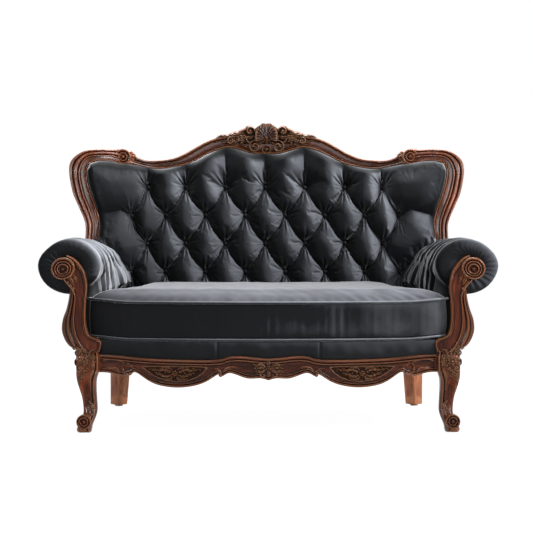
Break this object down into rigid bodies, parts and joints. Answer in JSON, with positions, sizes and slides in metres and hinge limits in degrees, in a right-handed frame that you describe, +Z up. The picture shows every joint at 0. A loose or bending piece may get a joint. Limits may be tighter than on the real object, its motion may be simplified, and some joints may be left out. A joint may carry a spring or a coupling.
{
  "type": "chesterfield sofa",
  "caption": "Two-seat tufted sofa with rolled arms, a winged back, a loose boxed cushion and a carved walnut show frame on scroll feet.",
  "frame": {"origin": "on the floor under the middle of the sofa's bounding box", "axes": "+X to the right as seen from the front, +Y to the rear, +Z up"},
  "size_m": [1.598, 0.8674, 1.1139],
  "materials": {
    "walnut": "carved walnut with a satin varnish",
    "beech": "planed, unfinished",
    "velvet": "charcoal cut-pile velvet",
    "lining": "black cambric",
    "steel": "plain zinc-coated steel"
  },
  "bodies": {
    "frame": {"left_front_leg": "walnut", "right_front_leg": "walnut", "left_rear_leg": "walnut", "right_rear_leg": "walnut", "left_front_glide": "steel", "right_front_glide": "steel", "left_rear_glide": "steel", "right_rear_glide": "steel", "front_apron": "walnut", "front_rail": "beech", "left_side_rail": "walnut", "right_side_rail": "walnut", "rear_rail": "beech", "centre_brace": "beech", "left_front_corner_block": "beech", "right_front_corner_block": "beech", "left_rear_corner_block": "beech", "right_rear_corner_block": "beech", "left_arm_post": "walnut", "right_arm_post": "walnut", "left_arm_rail": "beech", "right_arm_rail": "beech", "left_arm_pad": "velvet", "right_arm_pad": "velvet", "left_outside_arm": "velvet", "right_outside_arm": "velvet", "left_wing_frame": "walnut", "right_wing_frame": "walnut", "left_outside_wing": "velvet", "right_outside_wing": "velvet", "left_ear_scroll": "walnut", "right_ear_scroll": "walnut", "crest_rail": "walnut", "left_back_post": "beech", "right_back_post": "beech", "centre_stile": "beech", "tack_rail": "beech", "back_pad": "velvet", "outside_back": "velvet", "dust_cover": "lining", "crest_carving": "walnut", "left_crest_leaf": "walnut", "right_crest_leaf": "walnut", "left_apron_carving": "walnut", "right_apron_carving": "walnut", "centre_apron_carving": "walnut", "left_knee_carving": "walnut", "right_knee_carving": "walnut", "front_clip_strip": "steel", "rear_clip_strip": "steel", "seat_spring_1": "steel", "seat_spring_2": "steel", "seat_spring_3": "steel", "seat_spring_4": "steel", "seat_spring_5": "steel", "seat_deck": "lining", "deck_border": "velvet"},
    "cushion": {"seat_cushion": "velvet", "cushion_top_piping": "velvet", "cushion_bottom_piping": "velvet"}
  },
  "joints": [
    {"name": "cushion_slide", "type": "slide", "parent": "frame", "child": "cushion", "axis": [0, -1, 0], "range_m": [0, 0.6]}
  ]
}
